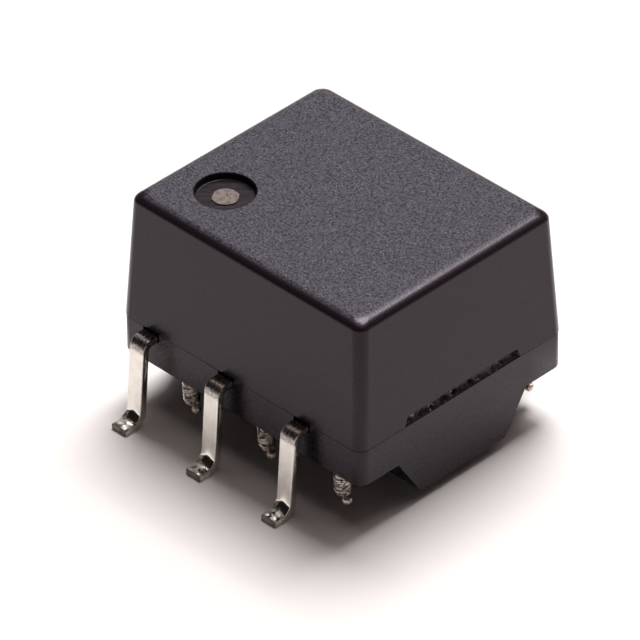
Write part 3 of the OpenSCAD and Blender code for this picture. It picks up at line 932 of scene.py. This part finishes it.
def makeBead(s):
    dropSelection()
    bpy.ops.mesh.primitive_uv_sphere_add(  # smaller by about what the lumps add
        segments=s["segments"], ring_count=s["rings"], radius=s["radius"] - s["lump"] / 4)
    bead = nameIt("solderMaster")
    roughen(bead, "solderLumps", s["grain"], s["lump"])
    openMesh(bead)
    bpy.ops.mesh.select_all(action="SELECT")
    bpy.ops.mesh.bisect(
        plane_co=(0, 0, s["topZ"] - s["centreZ"]), plane_no=(0, 0, 1), clear_outer=True, use_fill=True)
    closeMesh()
    return bead


solderFinish = makeSolderFinish(solderLook)
beadMaster = makeBead(beadShape)
for number, (x, side) in zip(terminalNumbers, leadPlaces(terminalShape)):
    beadX = x + terminalShape["postShift"] + beadShape["shiftX"]
    place = (beadX, side * terminalShape["postY"], beadShape["centreZ"])
    twin = copyPiece(beadMaster, f"solderLump{number}", place, turn=number * beadShape["turn"])
    settle(twin, solderFinish, [f"solder_bead_{number}"], smoothAngle=50)
bpy.data.objects.remove(beadMaster, do_unlink=True)


# solder drawn up between the turns on a post

sleeveShape = {
    "low": 0.66, "high": 1.38, "topRadius": 0.206, "footRadius": 0.170, "footPinch": 0.93,
    "sides": 36, "rings": 17, "grain": 0.13, "lump": 0.065, "turn": 1.3,
}


def makeSleeve(s):
    sleeve = addRod("sleeveMaster", 0, 0, s["low"], s["high"], s["topRadius"], s["sides"])
    openMesh(sleeve)
    pick(sleeve, "edges", isUpright)
    bpy.ops.mesh.subdivide(number_cuts=s["rings"])
    bands = s["rings"] + 1
    for ring in range(bands):
        level = s["low"] + ring * (s["high"] - s["low"]) / bands
        pick(sleeve, "verts", lambda v: abs(v.co.z - level) < touch)
        share = 1 - (1 - s["footRadius"] / s["topRadius"]) * (1 - ring / bands)
        if ring == 0:
            share *= s["footPinch"]
        bpy.ops.transform.resize(value=(share, share, 1))
    closeMesh()
    roughen(sleeve, "sleeveLumps", s["grain"], s["lump"])
    return sleeve


sleeveMaster = makeSleeve(sleeveShape)
for number, (x, side) in zip(terminalNumbers, leadPlaces(terminalShape)):
    place = (x + terminalShape["postShift"], side * terminalShape["postY"], 0)
    twin = copyPiece(sleeveMaster, f"solderSleeve{number}", place, turn=number * sleeveShape["turn"])
    settle(twin, solderFinish, [], smoothAngle=60)
bpy.data.objects.remove(sleeveMaster, do_unlink=True)


# resin in the end slots

resinShape = {
    "depth": 0.33, "recess": 0.03, "skin": 0.004, "columns": 48, "rows": 4,
    "rim": 0.01, "endRim": 0.12, "grain": 0.14, "lump": 0.20,
}
resinLook = {
    "most": (0.016, 0.012, 0.015), "rest": (0.40, 0.36, 0.36),
    "noise": (8.0, 3.0, 0.6), "spread": (0.60, 0.72), "roughness": (0.3, 0.7, 0.65, 0.40), "depth": 0.05,
}


def makeResin(s, cap):
    outer = cap["halfLength"] - s["recess"]
    half = cap["slotHalf"] - s["skin"]
    low = cap["partingZ"] + s["skin"]
    high = cap["partingZ"] + cap["slotHeight"] - s["skin"]
    resin = addBlock("resinMaster", (outer - s["depth"] + s["skin"], -half, low), (outer, half, high))
    openMesh(resin)
    pick(resin, "faces", looksUp)
    bpy.ops.transform.resize(value=(1, (half - cap["slotFlare"]) / half, 1))
    pick(resin, "edges", lambda e: (
        e.verts[0].co.x > outer - touch and abs(e.verts[0].co.y - e.verts[1].co.y) > half))
    bpy.ops.mesh.subdivide(number_cuts=s["columns"] - 1)
    pick(resin, "faces", lambda f: f.normal.x > facing)
    bpy.ops.mesh.subdivide(number_cuts=s["rows"] - 1)
    pick(resin, "verts", lambda v: (
        v.co.x > outer - touch and low + s["rim"] < v.co.z < high - s["rim"]
        and abs(v.co.y) < half - s["endRim"]))
    front = resin.vertex_groups.new(name="front")
    bpy.ops.object.vertex_group_assign()
    closeMesh()
    roughen(resin, "resinLumps", s["grain"], s["lump"], direction="X", level=1.0, group=front.name)
    resin.vertex_groups.clear()
    return resin


resinFinish = makeMottledFinish("slotResin", resinLook)
resinMaster = makeResin(resinShape, capShape)
for number, side in ((1, -1), (2, 1)):
    twin = copyPiece(resinMaster, f"slotResin{number}", scale=(side, side, 1))
    settle(twin, resinFinish, [f"slot_resin_{number}"], smoothAngle=60)
bpy.data.objects.remove(resinMaster, do_unlink=True)


# core and its adhesive, hidden in the case, keep their CAD meshes

ferriteLook = {
    "most": (0.055, 0.052, 0.055), "rest": (0.11, 0.105, 0.10),
    "noise": (10.0, 3.0, 0.6), "spread": (0.4, 0.7), "roughness": 0.55, "depth": 0.01,
}
adhesiveLook = {
    "most": (0.50, 0.36, 0.16), "rest": (0.66, 0.52, 0.28),
    "noise": (2.5, 2.0, 0.5), "spread": (0.35, 0.7), "roughness": 0.25, "depth": 0.02,
}

for nodeName, finishName, look in (
        ("core", "tumbledFerrite", ferriteLook), ("core_adhesive", "curedAdhesive", adhesiveLook)):
    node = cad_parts[nodeName]
    node.data.materials.clear()
    node.data.materials.append(makeMottledFinish(finishName, look))
print("core and adhesive finished")


# camera

cameraView = {
    "focalPixels": 8298.99, "framePixels": 640, "sensor": 36.0, "clip": (0.01, 20.0),
    "distance": 197.695, "azimuth": 45.3098, "elevation": 36.6206, "roll": -0.6261,
    "target": (0.0, 0.0, 3.0), "across": -0.5247, "upward": -0.4165,
}


def makeCamera(s):
    azimuth, elevation, roll = (math.radians(s[key]) for key in ("azimuth", "elevation", "roll"))
    level = math.cos(elevation)
    back = Vector((math.sin(azimuth) * level, -math.cos(azimuth) * level, math.sin(elevation)))
    right = Vector((0, 0, 1)).cross(back).normalized()
    up = back.cross(right)
    place = Vector(s["target"]) + right * s["across"] + up * s["upward"] + back * s["distance"]
    turnedRight = right * math.cos(roll) + up * math.sin(roll)
    turnedUp = up * math.cos(roll) - right * math.sin(roll)
    dropSelection()
    bpy.ops.object.camera_add()
    camera = bpy.context.object
    camera.name = "photoCamera"
    camera.data.sensor_width = s["sensor"]
    camera.data.lens = s["focalPixels"] / s["framePixels"] * s["sensor"]
    camera.data.clip_start, camera.data.clip_end = s["clip"]
    axes = Matrix((turnedRight, turnedUp, back)).transposed().to_4x4()
    camera.matrix_world = Matrix.Translation(place * mm) @ axes
    scene.camera = camera


makeCamera(cameraView)
print("camera ready")


# floor and light

stageLook = {
    "floor": (0.93, 0.89, 0.87), "floorSize": 3.0, "skyTint": (1.0, 0.86, 0.83), "white": (1.0, 1.0, 1.0),
    "skyTurn": (0.25, 0.97, 0.0), "skySpread": (-0.25, 0.50), "skyFront": 0.012, "skyBack": 0.09,
    "cove": 0.10, "coveRise": (0.10, 0.36), "sweepRise": (0.02, 0.10),
}
lamps = (
    {
        "name": "softboxOverhead", "place": (-0.056, 0.106, 0.300), "aim": (0, 0, 0.003),
        "size": (0.17, 0.13), "turn": -25, "power": 1.05, "colour": (1.0, 1.0, 1.0),
    },
    {
        "name": "softboxSkirt", "place": (-0.050, 0.100, 0.340), "aim": (0, 0, 0.003),
        "size": (0.40, 0.40), "turn": -25, "power": 0.42, "colour": (1.0, 0.88, 0.84),
    },
    {
        "name": "softboxBack", "place": (-0.061, 0.205, 0.292), "aim": (0, 0, 0.003),
        "size": (0.13, 0.10), "turn": -15, "power": 0.26, "colour": (1.0, 1.0, 1.0),
    },
)


def makeFloor(s):
    dropSelection()
    bpy.ops.mesh.primitive_plane_add(size=s["floorSize"])
    floor = bpy.context.object
    floor.name = "paperFloor"
    paper = bpy.data.materials.new("palePaper")
    paper.use_nodes = True
    nodes = paper.node_tree.nodes
    nodes.clear()
    out = nodes.new("ShaderNodeOutputMaterial")
    matt = nodes.new("ShaderNodeBsdfDiffuse")
    feed(paper, s["floor"], matt.inputs["Color"])
    feed(paper, matt.outputs["BSDF"], out.inputs["Surface"])
    floor.data.materials.append(paper)


def makeWorld(s):
    world = bpy.data.worlds.new("studioRoom")
    scene.world = world
    world.use_nodes = True
    nodes = world.node_tree.nodes
    nodes.clear()
    out = nodes.new("ShaderNodeOutputWorld")
    back = nodes.new("ShaderNodeBackground")
    rays = nodes.new("ShaderNodeLightPath").outputs
    way = nodes.new("ShaderNodeTexCoord").outputs["Generated"]
    upward = coordinate(world, way, "Z")
    toBack = vectorMaths(world, "DOT_PRODUCT", way, s["skyTurn"])
    sky = rangeOf(world, toBack, *s["skySpread"], s["skyFront"], s["skyBack"])
    cove = rangeOf(world, upward, *s["coveRise"], s["cove"], 0.0)  # the pale sweep behind the floor
    sweep = rangeOf(world, upward, *s["sweepRise"], 1.0, 0.0)  # and its white foot, seen in metal too
    mirrored = maths(world, "MAXIMUM", rays["Is Glossy Ray"], rays["Is Transmission Ray"])
    white = maths(world, "MAXIMUM", rays["Is Camera Ray"], product(world, mirrored, sweep))
    feed(world, mixOf(world, white, total(world, sky, cove), 1.0, "FLOAT"), back.inputs["Strength"])
    feed(world, mixOf(world, white, s["skyTint"], s["white"]), back.inputs["Color"])
    feed(world, back.outputs["Background"], out.inputs["Surface"])


def makeLamps(rows):
    for row in rows:
        dropSelection()
        bpy.ops.object.light_add(type="AREA", location=row["place"])
        lamp = bpy.context.object
        lamp.name = row["name"]
        lamp.data.energy = row["power"]
        lamp.data.shape = "RECTANGLE"
        lamp.data.size, lamp.data.size_y = row["size"]
        lamp.data.color = row["colour"]
        aimed = (Vector(row["aim"]) - Vector(row["place"])).to_track_quat("-Z", "Y")
        lamp.rotation_euler = (aimed @ Quaternion((0, 0, 1), math.radians(row["turn"]))).to_euler()


makeFloor(stageLook)
makeWorld(stageLook)
makeLamps(lamps)
scene.view_settings.view_transform = "Standard"
print("stage ready")
